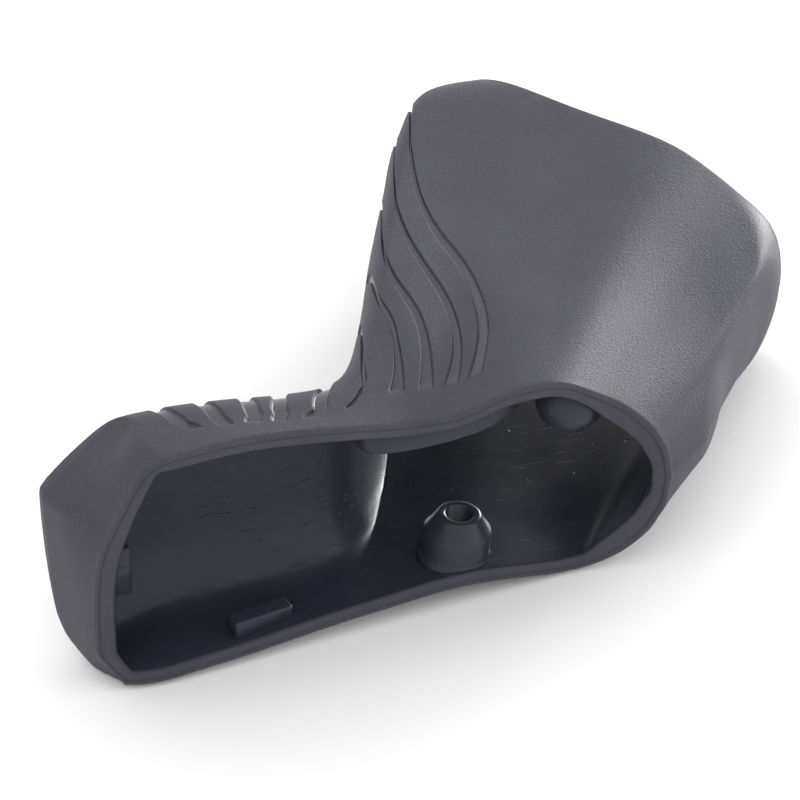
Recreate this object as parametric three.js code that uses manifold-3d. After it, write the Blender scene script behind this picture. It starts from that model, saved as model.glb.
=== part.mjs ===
// Brake lever hood: one moulded rubber boot that slips over the body of a drop-bar brake lever.
// Lengths are millimetres. The hood is drawn in its own drawing frame: x runs along the bar mouth
// from toe to heel, y is the height above the mouth, and z goes from one flank to the other.
// At the end it is turned to lie on its lower flank with the middle of its base at the origin.

import * as THREE from "three";
import { mergeVertices } from "three/addons/utils/BufferGeometryUtils.js";
import Module from "manifold-3d";

const wasm = await Module();
wasm.setup();

// Wall of the boot
const WALL = 2.2;

// Bar mouth: flat in the middle, curling up at the toe and out at the heel
const MOUTH_FLAT_FROM = 10;
const MOUTH_FLAT_TO = 60;
const MOUTH_TOE_CURL = 2.4;
const MOUTH_HEEL_CURL = 3.6;
const MOUTH_HEEL_LENGTH = 13;

// Blade opening: a straight slice across the front of the horn, from its tip to its belly
const BLADE_TOP = [78.0, 76.0];
const BLADE_LOW = [107.0, 31.5];

// Stations of the skin, in order from the toe over the palm, up the horn and down to the heel.
// near: point of the side profile; far: place along the mouth where this station's line ends;
// bow: sideways bend of that line; edge and rim: half widths of the upper and lower flank beside
// the profile and at the mouth; round and soft: depth and squareness of the rounded edge.
const STATIONS = [
  { near: [-9.0, 6.0], far: -7.0, bow: 0, edge: [4.0, 6.0], rim: [4.0, 6.0], round: 3.0, soft: 2.0 },
  { near: [-6.5, 13.0], far: -3.5, bow: 0, edge: [14.0, 17.4], rim: [14.4, 18.6], round: 8.0, soft: 2.4 },
  { near: [2.5, 16.2], far: 4.0, bow: 0, edge: [16.6, 18.0], rim: [17.4, 19.4], round: 9.0, soft: 2.5 },
  { near: [10.5, 17.2], far: 11.5, bow: 0, edge: [16.9, 17.2], rim: [17.9, 18.3], round: 10.0, soft: 2.6 },
  { near: [19.0, 16.6], far: 19.5, bow: 0, edge: [16.6, 16.6], rim: [18.4, 17.4], round: 10.5, soft: 2.6 },
  { near: [27.5, 15.7], far: 26.0, bow: 0, edge: [16.0, 15.8], rim: [17.3, 15.9], round: 10.5, soft: 2.6 },
  { near: [34.5, 15.6], far: 31.0, bow: 0, edge: [15.6, 15.3], rim: [15.4, 14.8], round: 10.5, soft: 2.5 },
  { near: [39.0, 19.5], far: 34.0, bow: 1, edge: [15.4, 15.2], rim: [14.1, 14.2], round: 11.5, soft: 2.4 },
  { near: [43.6, 31.0], far: 36.5, bow: 2, edge: [15.4, 15.2], rim: [13.6, 13.9], round: 12.5, soft: 2.4 },
  { near: [48.6, 43.0], far: 38.5, bow: 3, edge: [15.6, 15.4], rim: [13.5, 13.7], round: 13.5, soft: 2.4 },
  { near: [54.8, 57.0], far: 40.5, bow: 4, edge: [15.5, 15.4], rim: [13.6, 13.6], round: 14.0, soft: 2.4 },
  { near: [61.5, 70.5], far: 43.5, bow: 4, edge: [15.2, 15.2], rim: [14.3, 13.7], round: 13.5, soft: 2.4 },
  { near: [72.5, 80.3], far: 48.5, bow: 3, edge: [14.8, 14.8], rim: [15.6, 14.2], round: 12.0, soft: 2.5 },
  { near: [92.0, 75.0], far: 54.5, bow: 0, edge: [14.4, 14.4], rim: [16.3, 14.9], round: 11.0, soft: 2.6 },
  { near: [105.0, 60.0], far: 59.3, bow: -3, edge: [14.4, 13.8], rim: [15.7, 15.6], round: 11.0, soft: 2.6 },
  { near: [108.4, 43.0], far: 63.2, bow: -3, edge: [14.2, 12.0], rim: [14.2, 14.8], round: 11.0, soft: 2.4 },
  { near: [105.6, 31.5], far: 66.0, bow: -2, edge: [12.4, 9.0], rim: [12.4, 12.6], round: 10.0, soft: 2.2 },
  { near: [98.0, 22.5], far: 68.4, bow: -1, edge: [10.4, 6.6], rim: [10.0, 9.6], round: 7.0, soft: 2.0 },
  { near: [89.0, 14.0], far: 69.8, bow: 0, edge: [8.6, 5.6], rim: [7.1, 7.0], round: 6.0, soft: 2.0 },
  { near: [81.5, 6.0], far: 70.8, bow: 0, edge: [5.2, 4.0], rim: [3.7, 4.0], round: 4.0, soft: 2.0 },
  { near: [78.6, 2.6], far: 71.2, bow: 0, edge: [0.4, 0.4], rim: [0.3, 0.3], round: 3.0, soft: 2.0 },
];
const FAR_Y = -9;

// Toe: an end face and two facets that trim the toe to a blunt, gem-like block
const TOE_END_LEAN = 0.36;
const TOE_END_TOP = 12.5;
const TOE_UPPER_FROM = 6.5;
const TOE_UPPER_SLOPE = 0.62;
const TOE_UPPER_TWIST = 0.035;
const TOE_LOWER_FROM = -6.0;
const TOE_LOWER_SLOPE = 0.12;
const TOE_EDGE_SOFTNESS = 0.5;

// Grip grooves: one channel along each of these station values, over the profile to both flanks
const GROOVE_STATIONS = [3.3, 3.95, 4.55, 5.15, 6.0, 6.9, 8.0, 8.85, 9.85, 10.8, 11.45];
const GROOVE_WIDTH = 2.0;
const GROOVE_FLOOR = 1.2;
const GROOVE_DEPTH = 0.7;
const GROOVE_END_Y = 6.5;
const GROOVE_SPREAD = 0.3;

// Lower boss: a blind stud on the lower flank's inner face
const LOWER_BOSS_AT = [48.7, 5.3];
const LOWER_BOSS_LEAN = 5;
const LOWER_BOSS_TOP_Z = -5.8;
const LOWER_BOSS_RADIUS = 4.4;
const LOWER_BOSS_NOSE_RADIUS = 2.9;
const LOWER_BOSS_NOSE_HEIGHT = 2.4;
const LOWER_BOSS_HOLE_RADIUS = 1.75;
const LOWER_BOSS_HOLE_DEPTH = 5;

// Upper boss: a plain stud that hangs from the upper flank near the heel
const UPPER_BOSS_AT = [65.0, 5.2];
const UPPER_BOSS_END_Z = 4.6;
const UPPER_BOSS_RADIUS = 4.4;
const UPPER_BOSS_NOSE_RADIUS = 3.4;
const UPPER_BOSS_NOSE_HEIGHT = 1.6;

// Locating block beside the rim, stop block on the toe's inner wall
const RIM_BLOCK_AT = [21.0, 2.9];
const RIM_BLOCK_LENGTH = 8.0;
const RIM_BLOCK_DEPTH = 2.6;
const RIM_BLOCK_TOP_Z = -12.2;
const RIM_BLOCK_TURN = 8;
const TOE_BLOCK_REACH = 4.6;
const TOE_BLOCK_Y = [3.0, 9.0];
const TOE_BLOCK_Z = [-5.0, 2.0];

// Pad: thickened rubber under the upper flank at the waist of the mouth
const PAD_Z = 8.4;
const PAD_OUTLINE = [[34, 9.5], [34.2, 4.5], [36, 1.6], [43, 1.0], [51, 1.8], [57, 4.8], [57, 9.5]];

// Rest: turns that lay the lower flank on the ground
const REST_ROLL = 0.32;
const REST_PITCH = 3.12;

// Mesh steps
const EDGE_STEPS = 7;
const FLANK_STEPS = 7;
const LIP_STEPS = 4;
const INNER_EDGE_STEPS = 5;
const INNER_FLANK_STEPS = 5;
const INNER_LIP_STEPS = 3;
const EDGE_SHARE = 0.45;
const GROOVE_SHARE = 0.8;
const GROOVE_STOP = 0.008;
const ROUND_SEGMENTS = 28;
const THROUGH = 60;

const clamp = (value, low, high) => Math.min(high, Math.max(low, value));

function smoothstep(low, high, value) {
  const share = clamp((value - low) / (high - low), 0, 1);
  return share * share * (3 - 2 * share);
}

// Larger of two values, with the corner between them rounded.
function softMax(a, b, softness) {
  const share = clamp(0.5 + (a - b) / (2 * softness), 0, 1);
  return b + (a - b) * share + softness * share * (1 - share);
}

// Smooth curve through one value per station.
function curveThrough(values, at) {
  const i = clamp(Math.floor(at), 0, values.length - 2);
  const f = at - i;
  const here = values[i];
  const next = values[i + 1];
  const before = i > 0 ? values[i - 1] : 2 * here - next;
  const after = i + 2 < values.length ? values[i + 2] : 2 * next - here;
  const slopeHere = (next - before) / 2;
  const slopeNext = (after - here) / 2;
  const f2 = f * f;
  const f3 = f2 * f;
  return (2 * f3 - 3 * f2 + 1) * here + (f3 - 2 * f2 + f) * slopeHere
    + (3 * f2 - 2 * f3) * next + (f3 - f2) * slopeNext;
}

const COLUMNS = {
  nearX: STATIONS.map((s) => s.near[0]),
  nearY: STATIONS.map((s) => s.near[1]),
  farX: STATIONS.map((s) => s.far),
  bow: STATIONS.map((s) => s.bow),
  edgeUpper: STATIONS.map((s) => s.edge[0]),
  edgeLower: STATIONS.map((s) => s.edge[1]),
  rimUpper: STATIONS.map((s) => s.rim[0]),
  rimLower: STATIONS.map((s) => s.rim[1]),
  round: STATIONS.map((s) => s.round),
  soft: STATIONS.map((s) => s.soft),
};
const LAST_STATION = STATIONS.length - 1;

function stationAt(v) {
  const station = {};
  for (const [name, values] of Object.entries(COLUMNS)) station[name] = curveThrough(values, v);
  return station;
}

// Smallest x that the toe's end face and facets allow at this height and side.
function toeLimit(y, z) {
  const end = TOE_END_LEAN * (MOUTH_TOE_CURL - Math.min(y, TOE_END_TOP));
  const upper = (z - TOE_UPPER_FROM) * (TOE_UPPER_SLOPE + TOE_UPPER_TWIST * Math.max(0, y));
  const lower = (TOE_LOWER_FROM - z) * TOE_LOWER_SLOPE;
  return end + Math.max(0, upper, lower);
}

// Depth below the profile and width share at side value a: the rounded edge first, then the
// flank down to where the grooves stop, then the plain band down to the mouth.
function sectionAt(station, a, length) {
  if (a < EDGE_SHARE) {
    const angle = (a / EDGE_SHARE) * (Math.PI / 2);
    return {
      depth: station.round * (1 - Math.cos(angle) ** (2 / station.soft)),
      width: Math.sin(angle) ** (2 / station.soft),
    };
  }
  const toStop = length * (station.nearY - GROOVE_END_Y) / (station.nearY - FAR_Y);
  const stop = Math.max(station.round + 1.5, toStop);
  if (a < GROOVE_SHARE) {
    const share = (a - EDGE_SHARE) / (GROOVE_SHARE - EDGE_SHARE);
    return { depth: station.round + (stop - station.round) * share, width: 1 };
  }
  const share = (a - GROOVE_SHARE) / (1 - GROOVE_SHARE);
  return { depth: stop + (length - stop) * share, width: 1 };
}

// Point of the skin before the toe is trimmed. v counts stations; t runs from -1 at the lower
// flank's mouth over 0 on the profile to 1 at the upper flank's mouth.
function fullPoint(v, t) {
  const s = stationAt(v);
  const length = Math.hypot(s.farX - s.nearX, FAR_Y - s.nearY);
  const section = sectionAt(s, Math.abs(t), length);
  const share = section.depth / length;
  const toX = (s.farX - s.nearX) / length;
  const toY = (FAR_Y - s.nearY) / length;
  const bow = s.bow * 6.75 * share * share * (1 - share);
  const x = s.nearX + toX * section.depth - toY * bow;
  const y = s.nearY + toY * section.depth + toX * bow;
  const edge = t > 0 ? s.edgeUpper : s.edgeLower;
  const rim = t > 0 ? s.rimUpper : s.rimLower;
  const half = edge + (rim - edge) * smoothstep(0.35, 1, share);
  return new THREE.Vector3(x, y, Math.sign(t) * section.width * half);
}

function skinSpan(v, t) {
  const step = 1e-3;
  const low = clamp(v - step, 0, LAST_STATION);
  const high = clamp(v + step, 0, LAST_STATION);
  return fullPoint(high, t).sub(fullPoint(low, t)).divideScalar(high - low);
}

function skinNormal(v, t) {
  const step = 1e-3;
  const along = skinSpan(v, t);
  const across = fullPoint(v, Math.min(1, t + step)).sub(fullPoint(v, Math.max(-1, t - step)));
  return across.cross(along).normalize();
}

// Skin moved inward by a depth, then trimmed at the toe by a limit that has moved in as far.
function skinPoint(v, t, depth) {
  const point = fullPoint(v, t);
  if (depth !== 0) point.addScaledVector(skinNormal(v, t), -depth);
  point.x = softMax(point.x, toeLimit(point.y, point.z) + depth, TOE_EDGE_SOFTNESS);
  return point;
}

function sideValues(edgeSteps, flankSteps, lipSteps, withStop) {
  const side = [];
  for (let i = 1; i <= edgeSteps; i++) side.push(EDGE_SHARE * (i / edgeSteps));
  for (let i = 1; i <= flankSteps; i++) {
    side.push(EDGE_SHARE + (GROOVE_SHARE - EDGE_SHARE) * (i / flankSteps));
  }
  if (withStop) side.push(GROOVE_SHARE + GROOVE_STOP);
  for (let i = 1; i <= lipSteps; i++) {
    side.push(GROOVE_SHARE + (1 - GROOVE_SHARE) * (i / lipSteps));
  }
  return [...side.map((a) => -a).reverse(), 0, ...side];
}

// Rows of the outer skin: four rows shape each groove, plain rows fill the rest.
function outerRows() {
  const rows = [];
  for (const v of GROOVE_STATIONS) {
    for (const [offset, depth] of [
      [-GROOVE_WIDTH / 2, 0],
      [-GROOVE_FLOOR / 2, GROOVE_DEPTH],
      [GROOVE_FLOOR / 2, GROOVE_DEPTH],
      [GROOVE_WIDTH / 2, 0],
    ]) {
      rows.push({ v, offset, depth });
    }
  }
  for (let v = 0; v <= LAST_STATION; v += 0.5) {
    const clear = GROOVE_STATIONS.every((groove) => Math.abs(groove - v) > 1.2 * GROOVE_SPREAD);
    if (clear) rows.push({ v, offset: 0, depth: 0 });
  }
  return rows.sort((a, b) => a.v - b.v || a.offset - b.offset);
}

function innerRows() {
  const rows = [];
  for (let v = 0; v <= LAST_STATION; v += 0.5) rows.push({ v, offset: 0, depth: WALL });
  return rows;
}

// Point of a row; a groove keeps its width until the stations crowd together near the mouth.
function rowPoint(row, t) {
  const perStation = Math.max(skinSpan(row.v, t).length(), GROOVE_WIDTH / 2 / GROOVE_SPREAD);
  const v = row.v + row.offset / perStation;
  const inGroove = Math.abs(t) <= GROOVE_SHARE || row.offset === 0;
  return skinPoint(v, t, inGroove ? row.depth : 0);
}

// Closed body through the rows, each row closed straight across the mouth.
function skinBody(rows, sides) {
  const n = sides.length;
  const position = [];
  const index = [];
  for (const row of rows) for (const t of sides) position.push(...rowPoint(row, t).toArray());
  for (let i = 0; i + 1 < rows.length; i++) {
    for (let j = 0; j < n; j++) {
      const next = (j + 1) % n;
      const a = i * n + j;
      const b = i * n + next;
      const c = (i + 1) * n + next;
      const d = (i + 1) * n + j;
      index.push(a, c, d, a, b, c);
    }
  }
  for (const row of [0, rows.length - 1]) {
    const centre = new THREE.Vector3();
    for (let j = 0; j < n; j++) {
      centre.add(new THREE.Vector3().fromArray(position, (row * n + j) * 3).divideScalar(n));
    }
    const middle = position.length / 3;
    position.push(...centre.toArray());
    for (let j = 0; j < n; j++) {
      const a = row * n + j;
      const b = row * n + (j + 1) % n;
      if (row === 0) index.push(middle, b, a);
      else index.push(middle, a, b);
    }
  }
  const geometry = new THREE.BufferGeometry();
  geometry.setAttribute("position", new THREE.Float32BufferAttribute(position, 3));
  geometry.setIndex(index);
  return geometry;
}

function solidOf(geometry) {
  const bare = geometry.clone();
  bare.deleteAttribute("normal");
  bare.deleteAttribute("uv");
  const merged = mergeVertices(bare, 1e-4);
  return new wasm.Manifold(new wasm.Mesh({
    numProp: 3,
    vertProperties: new Float32Array(merged.attributes.position.array),
    triVerts: new Uint32Array(merged.index.array),
  }));
}

function geometryOf(solid) {
  const mesh = solid.getMesh();
  const geometry = new THREE.BufferGeometry();
  geometry.setAttribute("position", new THREE.BufferAttribute(mesh.vertProperties, 3));
  geometry.setIndex(new THREE.BufferAttribute(mesh.triVerts, 1));
  return geometry;
}

// Upright body of a side-view outline, between two heights across the flanks.
function prism(outline, zLow, zHigh) {
  const shape = new THREE.Shape(outline.map(([x, y]) => new THREE.Vector2(x, y)));
  const options = { depth: zHigh - zLow, bevelEnabled: false };
  return new THREE.ExtrudeGeometry(shape, options).translate(0, 0, zLow);
}

// Line of the mouth in the side view.
function mouthLine(x) {
  if (x < MOUTH_FLAT_FROM) {
    return MOUTH_TOE_CURL * ((MOUTH_FLAT_FROM - x) / MOUTH_FLAT_FROM) ** 2;
  }
  if (x > MOUTH_FLAT_TO) {
    return -MOUTH_HEEL_CURL * ((x - MOUTH_FLAT_TO) / MOUTH_HEEL_LENGTH) ** 2;
  }
  return 0;
}

// Everything on the bar's side of the mouth.
function mouthCutter() {
  const step = 2;
  const toe = -6;
  const heel = MOUTH_FLAT_TO + 1.5 * MOUTH_HEEL_LENGTH;
  const outline = [[toe - THROUGH, -THROUGH], [heel, -THROUGH]];
  for (let x = heel; x > MOUTH_FLAT_TO; x -= step) outline.push([x, mouthLine(x)]);
  outline.push([MOUTH_FLAT_TO, 0]);
  for (let x = MOUTH_FLAT_FROM; x > toe; x -= step) outline.push([x, mouthLine(x)]);
  outline.push([toe - THROUGH, mouthLine(toe)]);
  return prism(outline, -THROUGH, THROUGH);
}

// Everything in front of the blade opening's plane.
function bladeCutter() {
  const along = new THREE.Vector2(BLADE_LOW[0] - BLADE_TOP[0], BLADE_LOW[1] - BLADE_TOP[1]).normalize();
  const front = new THREE.Vector2(-along.y, along.x);
  const start = [BLADE_TOP[0] - along.x * THROUGH, BLADE_TOP[1] - along.y * THROUGH];
  const outline = [start, BLADE_LOW];
  outline.push([BLADE_LOW[0] + front.x * THROUGH, BLADE_LOW[1] + front.y * THROUGH]);
  outline.push([start[0] + front.x * THROUGH, start[1] + front.y * THROUGH]);
  return prism(outline, -THROUGH, THROUGH);
}

// Turned body about the z direction from a profile of radius and height pairs.
function turned(profile) {
  const points = profile.map(([radius, height]) => new THREE.Vector2(radius, height));
  return new THREE.LatheGeometry(points, ROUND_SEGMENTS).rotateX(Math.PI / 2);
}

// Blunt stud with its nose at height zero and its foot below it, long enough to reach the wall.
function stud(radius, noseRadius, noseHeight) {
  return turned([[0, -THROUGH / 2], [radius, -THROUGH / 2], [radius, -noseHeight], [noseRadius, 0], [0, 0]]);
}

function lowerBoss() {
  const lean = THREE.MathUtils.degToRad(-LOWER_BOSS_LEAN);
  const place = (geometry) => solidOf(geometry.rotateY(lean)
    .translate(LOWER_BOSS_AT[0], LOWER_BOSS_AT[1], LOWER_BOSS_TOP_Z));
  const hole = turned([
    [0, -LOWER_BOSS_HOLE_DEPTH], [LOWER_BOSS_HOLE_RADIUS, -LOWER_BOSS_HOLE_DEPTH],
    [LOWER_BOSS_HOLE_RADIUS, 1], [0, 1],
  ]);
  const body = stud(LOWER_BOSS_RADIUS, LOWER_BOSS_NOSE_RADIUS, LOWER_BOSS_NOSE_HEIGHT);
  return place(body).subtract(place(hole));
}

function upperBoss() {
  const body = stud(UPPER_BOSS_RADIUS, UPPER_BOSS_NOSE_RADIUS, UPPER_BOSS_NOSE_HEIGHT);
  return solidOf(body.rotateX(Math.PI).translate(UPPER_BOSS_AT[0], UPPER_BOSS_AT[1], UPPER_BOSS_END_Z));
}

function rimBlock() {
  const foot = THROUGH / 2;
  const block = new THREE.BoxGeometry(RIM_BLOCK_LENGTH, RIM_BLOCK_DEPTH, foot);
  block.rotateZ(THREE.MathUtils.degToRad(RIM_BLOCK_TURN));
  return solidOf(block.translate(RIM_BLOCK_AT[0], RIM_BLOCK_AT[1], RIM_BLOCK_TOP_Z - foot / 2));
}

function toeBlock() {
  const [yLow, yHigh] = TOE_BLOCK_Y;
  return solidOf(prism([[-THROUGH / 2, yLow], [TOE_BLOCK_REACH, yLow], [TOE_BLOCK_REACH - 1, yHigh],
    [-THROUGH / 2, yHigh]], ...TOE_BLOCK_Z));
}

function waistPad() {
  return solidOf(prism(PAD_OUTLINE, PAD_Z, THROUGH));
}

// The boot: outer skin less the hollow, what stands on the inside walls, then the two openings.
function hoodSolid() {
  const outerSides = sideValues(EDGE_STEPS, FLANK_STEPS, LIP_STEPS, true);
  const innerSides = sideValues(INNER_EDGE_STEPS, INNER_FLANK_STEPS, INNER_LIP_STEPS, false);
  const outer = solidOf(skinBody(outerRows(), outerSides));
  const hollow = solidOf(skinBody(innerRows(), innerSides));
  const inside = lowerBoss().add(upperBoss()).add(rimBlock()).add(toeBlock()).add(waistPad());
  return outer.subtract(hollow)
    .add(inside.intersect(outer))
    .subtract(solidOf(mouthCutter()))
    .subtract(solidOf(bladeCutter()));
}

// Turned to its rest, with the middle of the base at the origin.
function laidDown(geometry) {
  geometry.rotateX(THREE.MathUtils.degToRad(REST_ROLL));
  geometry.rotateY(THREE.MathUtils.degToRad(REST_PITCH));
  geometry.computeBoundingBox();
  const box = geometry.boundingBox;
  const middle = box.getCenter(new THREE.Vector3());
  return geometry.translate(-middle.x, -middle.y, -box.min.z);
}

function rubber() {
  return new THREE.MeshStandardMaterial({ color: 0x2c2c31, roughness: 0.72, metalness: 0 });
}

const hood = new THREE.Mesh(laidDown(geometryOf(hoodSolid())), rubber());
hood.name = "hood";

const part = new THREE.Group();
part.add(hood);
export default part;
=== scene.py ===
# %% [markdown]
# # Brake lever hood, lying on a white table
# The hood is the rubber boot that a rider's hand rests on. It is moulded in one piece, so here it is
# one mesh as well. Its shape is drawn by a few stations: each one is a line over the back of the boot,
# from one edge of the bar mouth to the other. The numbers are millimetres until the mesh is placed.

# %% Tools and frame
import math
import bpy
import numpy as np
from mathutils import Matrix, Vector


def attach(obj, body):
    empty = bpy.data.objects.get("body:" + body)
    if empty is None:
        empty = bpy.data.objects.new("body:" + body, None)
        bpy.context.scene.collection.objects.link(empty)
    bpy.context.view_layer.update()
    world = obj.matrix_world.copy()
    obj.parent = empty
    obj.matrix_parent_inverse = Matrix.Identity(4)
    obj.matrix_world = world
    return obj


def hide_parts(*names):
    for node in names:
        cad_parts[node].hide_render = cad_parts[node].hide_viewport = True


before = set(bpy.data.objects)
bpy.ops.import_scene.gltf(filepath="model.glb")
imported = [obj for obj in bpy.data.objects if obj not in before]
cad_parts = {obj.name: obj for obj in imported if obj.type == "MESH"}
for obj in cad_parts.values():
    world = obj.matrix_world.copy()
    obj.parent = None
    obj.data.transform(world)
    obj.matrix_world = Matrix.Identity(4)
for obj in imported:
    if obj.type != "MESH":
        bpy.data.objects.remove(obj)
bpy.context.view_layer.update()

# %% [markdown]
# ## Stations of the skin
# A station holds the point of the side profile, the place along the mouth where its line ends, the
# sideways bend of the line, the half widths of the upper and lower flank (beside the profile and at
# the mouth), and how deep and how square the rounded edge is. A smooth curve through the stations
# gives every value in between. A box pushed and pulled by hand could look alike, but its numbers
# couldn't be read or changed one by one.

# %% Stations
STATIONS = np.array([
    # near x, y   far x  bow  edge up, low  rim up, low  round  soft
    [-9.0, 6.0, -7.0, 0, 4.0, 11.0, 2.5, 9.0, 3.0, 2.0],
    [-6.5, 13.0, -3.5, 0, 14.0, 17.7, 9.5, 15.6, 8.0, 2.4],
    [2.5, 15.9, 4.0, 0, 16.4, 18.3, 15.7, 18.3, 9.0, 2.5],
    [10.5, 16.8, 11.5, 0, 16.7, 17.4, 17.2, 18.0, 10.0, 2.6],
    [19.0, 16.2, 19.5, 0, 16.6, 16.6, 18.0, 17.1, 10.5, 2.6],
    [27.5, 15.3, 26.0, 0, 16.0, 15.8, 17.1, 15.7, 10.5, 2.6],
    [34.0, 15.9, 31.0, 0, 15.6, 15.3, 15.4, 14.7, 10.5, 2.5],
    [38.5, 20.5, 34.0, 1, 15.4, 15.2, 14.1, 14.1, 11.5, 2.4],
    [44.1, 31.0, 36.5, 2, 15.4, 15.2, 13.6, 13.8, 12.5, 2.4],
    [49.6, 43.0, 38.5, 3, 15.6, 15.4, 13.5, 13.6, 13.5, 2.4],
    [56.5, 57.0, 40.5, 4, 15.3, 15.4, 13.6, 13.6, 14.0, 2.4],
    [63.4, 70.4, 43.5, 4, 14.9, 15.2, 14.3, 13.7, 13.5, 2.4],
    [73.0, 80.4, 48.5, 3, 14.6, 14.8, 15.6, 14.2, 12.0, 2.5],
    [92.0, 75.0, 53.9, 0, 14.4, 14.4, 15.7, 15.0, 11.0, 2.6],
    [105.0, 60.0, 56.2, -2, 14.4, 14.0, 14.9, 15.3, 12.0, 2.3],
    [108.4, 43.0, 58.5, -2, 10.4, 11.8, 13.2, 15.1, 11.0, 2.2],
    [105.4, 31.5, 61.5, -1, 8.6, 7.4, 11.0, 13.8, 9.0, 2.0],
    [97.6, 22.4, 64.6, 0, 7.6, 4.6, 7.9, 11.0, 7.0, 2.0],
    [89.8, 13.6, 66.6, 0, 5.8, 4.4, 5.8, 8.4, 5.5, 2.0],
    [85.0, 6.6, 67.3, 0, 3.8, 4.6, 3.5, 5.0, 4.5, 2.0],
    [81.4, 1.8, 67.2, 0, 0.4, 0.4, 0.3, 0.3, 3.0, 2.0],
])
LAST = len(STATIONS) - 1


def station_at(v):
    """One smooth curve through each column of the stations."""
    v = np.asarray(v, float)
    i = np.clip(np.floor(v).astype(int), 0, LAST - 1)
    f = (v - i)[..., None]
    here, after = STATIONS[i], STATIONS[i + 1]
    before = np.where((i > 0)[..., None], STATIONS[np.maximum(i - 1, 0)], 2 * here - after)
    last = np.where((i + 2 <= LAST)[..., None], STATIONS[np.minimum(i + 2, LAST)], 2 * after - here)
    in_slope, out_slope = (after - before) / 2, (last - here) / 2
    f2, f3 = f * f, f * f * f
    value = (2 * f3 - 3 * f2 + 1) * here + (f3 - 2 * f2 + f) * in_slope
    value = value + (3 * f2 - 2 * f3) * after + (f3 - f2) * out_slope
    return np.moveaxis(value, -1, 0)


print("stations:", len(STATIONS))

# %% [markdown]
# ## From stations to a surface
# Each line leaves the profile with a rounded edge, a superellipse, and then runs down the flank, a
# little bowed where its station says so. A superellipse has one number for how square it is, so
# the round horn and the squarer palm come from one formula, and no edge has to be bevelled later.

# %% Untrimmed skin
FAR_Y = -9.0
# Shares of the way from the profile to the mouth: where the rounded edge ends, and the grooves
EDGE_SHARE = 0.45
GROOVE_SHARE = 0.8
GROOVE_END_Y = 6.5
# The curve share * share * (1 - share) times this has its peak at 1
BOW_PEAK = 27 / 4
SLOPE_STEP = 1e-3


def smooth(low, high, value):
    """Rises softly from 0 at low to 1 at high."""
    share = np.clip((value - low) / (high - low), 0, 1)
    return share * share * (3 - 2 * share)


def full_point(v, t, inset=0.0):
    """Point of the untrimmed skin at station v and side value t, from -1 (lower) to 1 (upper)."""
    near_x, near_y, far_x, bow, edge_up, edge_low, rim_up, rim_low, rounding, soft = (
        inset_station(v, inset) if inset else station_at(v))
    length = np.hypot(far_x - near_x, FAR_Y - near_y)
    a = np.abs(t)
    angle = np.clip(a / EDGE_SHARE, 0, 1) * (math.pi / 2)
    round_depth = rounding * (1 - np.maximum(np.cos(angle), 0) ** (2 / soft))
    width = np.sin(angle) ** (2 / soft)
    stop = np.maximum(rounding + 1.5, length * (near_y - GROOVE_END_Y) / (near_y - FAR_Y))
    flank = rounding + (stop - rounding) * (a - EDGE_SHARE) / (GROOVE_SHARE - EDGE_SHARE)
    lip = stop + (length - stop) * (a - GROOVE_SHARE) / (1 - GROOVE_SHARE)
    depth = np.where(a < EDGE_SHARE, round_depth, np.where(a < GROOVE_SHARE, flank, lip))
    share = depth / length
    to_x, to_y = (far_x - near_x) / length, (FAR_Y - near_y) / length
    bend = bow * BOW_PEAK * share * share * (1 - share)
    edge = np.where(t > 0, edge_up, edge_low)
    rim = np.where(t > 0, rim_up, rim_low)
    half = edge + (rim - edge) * smooth(0.35, 1, share)
    x = near_x + to_x * depth - to_y * bend
    y = near_y + to_y * depth + to_x * bend
    return np.stack([x, y, np.sign(t) * width * half], axis=-1)


def skin_normal(v, t):
    """Outward normal of the untrimmed skin."""
    v0, v1 = np.clip(v - SLOPE_STEP, 0, LAST), np.clip(v + SLOPE_STEP, 0, LAST)
    along = full_point(v1, t) - full_point(v0, t)
    across = full_point(v, np.minimum(1, t + SLOPE_STEP)) - full_point(v, np.maximum(-1, t - SLOPE_STEP))
    normal = np.cross(across, along)
    return normal / np.maximum(np.linalg.norm(normal, axis=-1, keepdims=True), 1e-12)


print("profile's highest point:", np.round(full_point(12.2, 0.0), 1))

# %% [markdown]
# ## The blunt toe
# The toe is not round like the rest of the edge. It is a blunt block: an end face that leans back,
# a facet above it and one below, and a lip that sweeps round in a wide curve. Here they are limits
# on x that trim the skin. Where two of them meet, soft_max leaves a soft edge, which a boolean cut
# with a block would leave sharp.

# %% Toe block
TOE_CURL = 2.4
TOE_FACE_AT = -0.75
TOE_FACE_TOP = 12.5
TOE_LEAN = 0.31
UPPER_FACET_FROM = 5.9
SLIGHT_FACET_FROM = -6.0
LOWER_FACET_FROM = -13.0


def soft_max(a, b, softness):
    """The larger of two limits, with a soft edge where they meet."""
    share = np.clip(0.5 + (a - b) / (2 * softness), 0, 1)
    return b + (a - b) * share + softness * share * (1 - share)


def toe_limit(y, z):
    """Smallest x that the toe allows: curved at the lip, an end face with facets further in."""
    end = TOE_FACE_AT - TOE_LEAN * (np.minimum(y, TOE_FACE_TOP) - TOE_CURL)
    wide_curve = 0.0105 * np.maximum(z + 9, 0) ** 2
    corner_curve = 0.35 * np.clip(z - 14.5, 0, 3.5) ** 2
    curved = wide_curve + corner_curve
    upper_slope = 0.62 + 0.035 * np.maximum(0, y)
    upper = soft_max((z - UPPER_FACET_FROM) * upper_slope, 0, 0.8)
    slight = (SLIGHT_FACET_FROM - z) * 0.1 * smooth(3, 10, y)
    lower_slope = 0.6 - 0.25 * smooth(1.5, 7, y)
    lower = np.maximum(slight, (LOWER_FACET_FROM - z) * lower_slope)
    depth = smooth(1.5, 9, y)
    return end + soft_max(curved * (1 - depth) + upper * depth, lower, 1.5)


print("toe's end face at mid height, x:", round(float(toe_limit(6.0, 0.0)), 2))

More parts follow.
